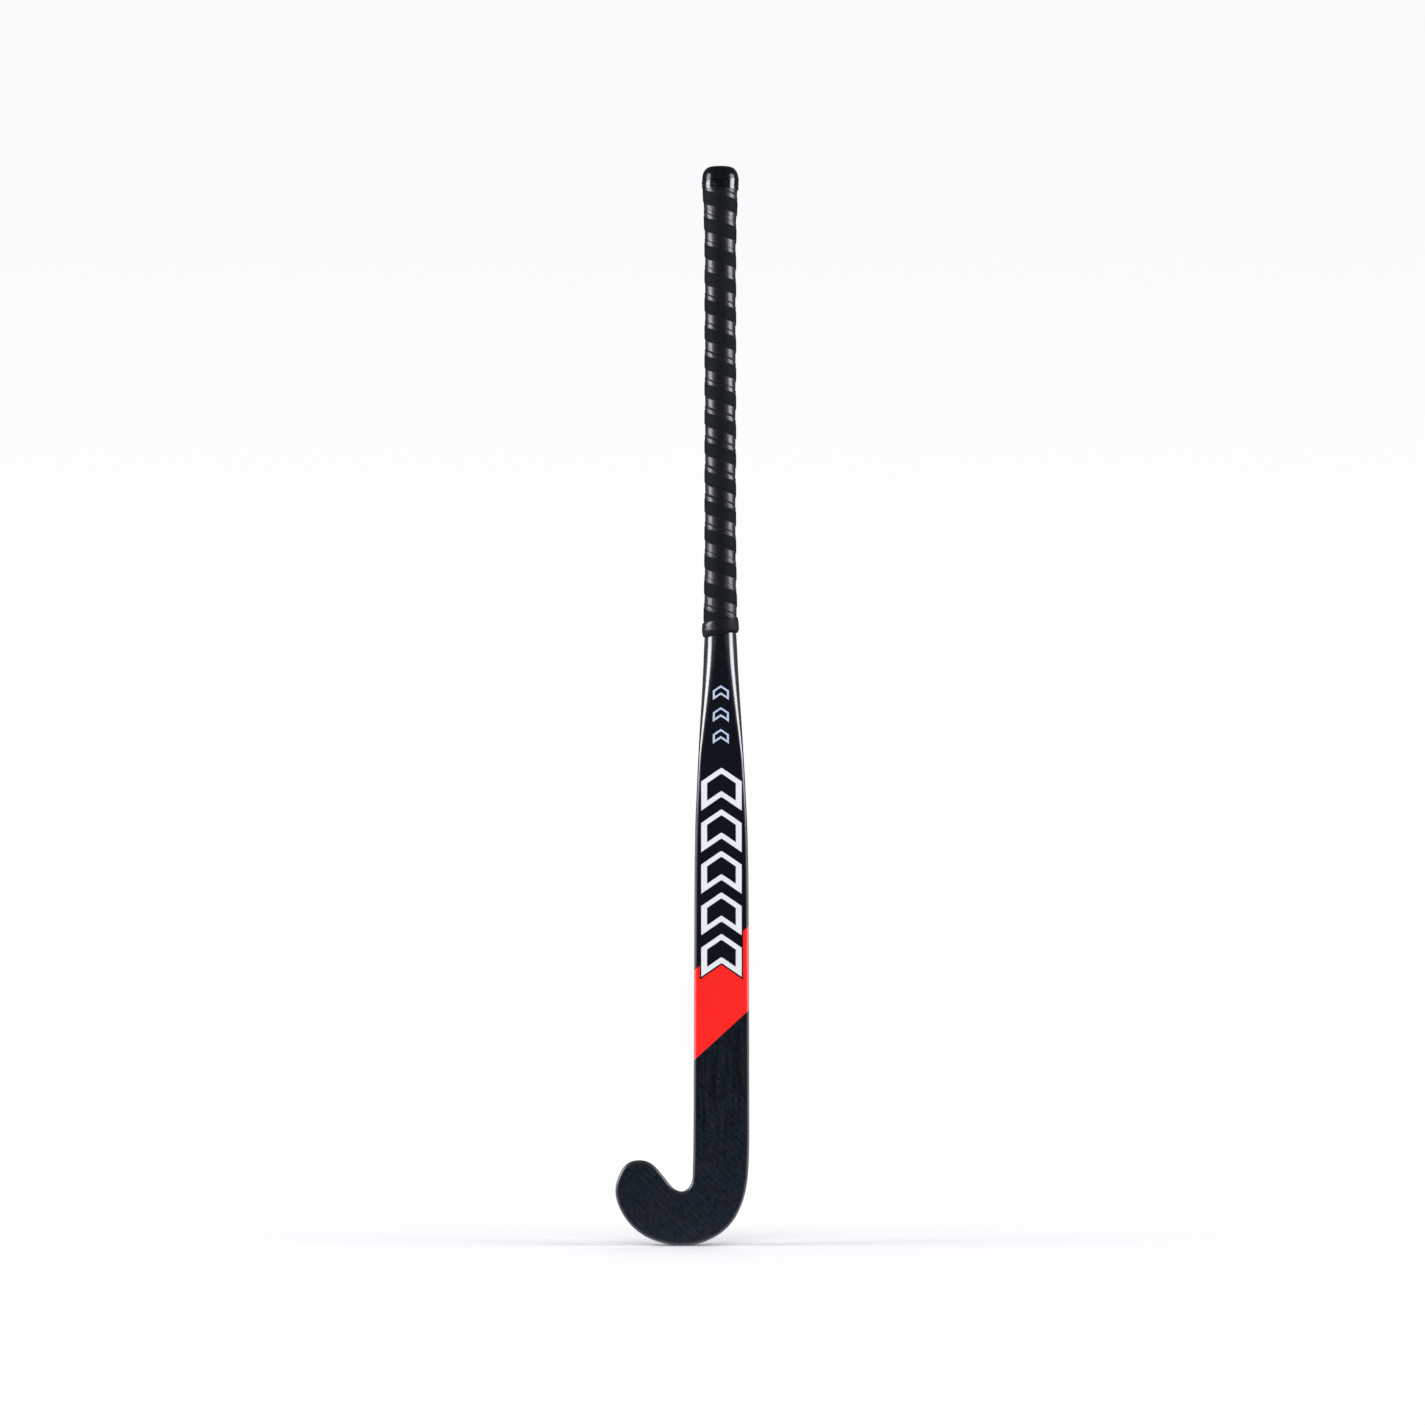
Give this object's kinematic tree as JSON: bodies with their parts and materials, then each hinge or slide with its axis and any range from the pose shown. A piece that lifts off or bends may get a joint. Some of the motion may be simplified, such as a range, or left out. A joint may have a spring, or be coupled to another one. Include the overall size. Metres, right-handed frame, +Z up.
{
  "type": "field hockey stick",
  "caption": "Full-length composite field hockey stick with a bowed flat-faced blade, a short upturned hook, a spiral-wound grip and a domed end cap.",
  "frame": {"origin": "middle of the footprint in plan, level with the lowest point of the hook, with the stick standing upright on its hook", "axes": "+Z up the stick to the end cap, +X towards the heel side so the toe points to -X, and the flat playing face looks towards -Y"},
  "size_m": [0.115, 0.0491, 0.927],
  "materials": {
    "shell_lacquer": "black carbon laminate under clear lacquer, glossy above and satin on the hook, with one red painted diagonal band",
    "inner_braid": "resin-wet carbon and glass braid",
    "handle_foam": "closed-cell polyurethane foam",
    "core_foam": "dense moulded foam and resin",
    "aramid": "woven aramid set in resin",
    "plug_plastic": "moulded nylon",
    "cap_rubber": "smooth moulded rubber, semi-gloss",
    "cap_vinyl": "glossy black stretched vinyl tape",
    "underlay": "double-sided adhesive cloth",
    "grip_polyurethane": "polyurethane ribbon with a smooth satin margin and a raised matte band",
    "finishing_tape": "thin black ribbed tape",
    "white_film": "white transfer film under lacquer",
    "blue_film": "pale blue transfer film under lacquer"
  },
  "bodies": {
    "root": {"laminate_shell": "shell_lacquer", "inner_tube_toe_side": "inner_braid", "inner_tube_heel_side": "inner_braid", "handle_foam_toe_side": "handle_foam", "handle_foam_heel_side": "handle_foam", "head_core": "core_foam", "heel_reinforcement": "aramid", "butt_plug": "plug_plastic", "end_cap": "cap_rubber", "cap_tape": "cap_vinyl", "grip_underlay": "underlay", "grip_tape": "grip_polyurethane", "finishing_tape": "finishing_tape", "face_mark_1": "white_film", "face_mark_2": "white_film", "face_mark_3": "white_film", "face_mark_4": "white_film", "face_mark_5": "white_film", "neck_mark_1": "blue_film", "neck_mark_2": "blue_film", "neck_mark_3": "blue_film"}
  },
  "joints": []
}
